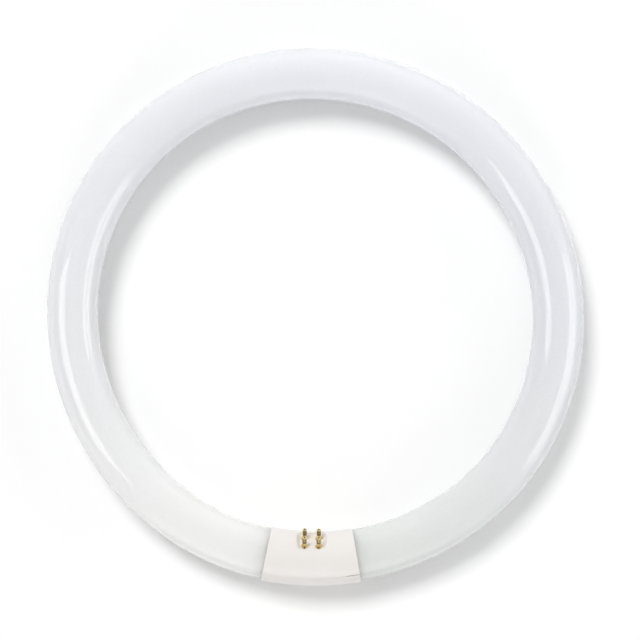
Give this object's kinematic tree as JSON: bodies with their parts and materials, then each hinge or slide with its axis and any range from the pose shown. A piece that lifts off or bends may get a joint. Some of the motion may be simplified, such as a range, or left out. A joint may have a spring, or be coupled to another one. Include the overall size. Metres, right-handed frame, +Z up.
{
  "type": "circular fluorescent tube",
  "caption": "Ring-shaped fluorescent lamp: a white coated glass tube bent to a circle, its ends joined in a white plastic cap with hollow brass contact pins leaning inward.",
  "frame": {"origin": "under the centre of the ring, on the surface the lamp lies on", "axes": "+Z up, square to the flat ring; +Y from the cap across the ring to its far side; the pins lean halfway between +Y and +Z"},
  "size_m": [0.3048, 0.3055, 0.0323],
  "materials": {
    "coated_glass": "clear glossy glass over a white coating on its inside, so it looks solid white",
    "cap_plastic": "warm white moulded plastic with a soft sheen",
    "pin_brass": "turned brass, bright at the tips and darker on the shafts",
    "lead_metal": "dull drawn wire"
  },
  "bodies": {
    "root": {"glass_tube": "coated_glass", "pin_shell": "cap_plastic", "back_shell": "cap_plastic", "contact_pin_1": "pin_brass", "contact_pin_2": "pin_brass", "contact_pin_3": "pin_brass", "contact_pin_4": "pin_brass", "lead_wire_1": "lead_metal", "lead_wire_2": "lead_metal", "lead_wire_3": "lead_metal", "lead_wire_4": "lead_metal"}
  },
  "joints": []
}
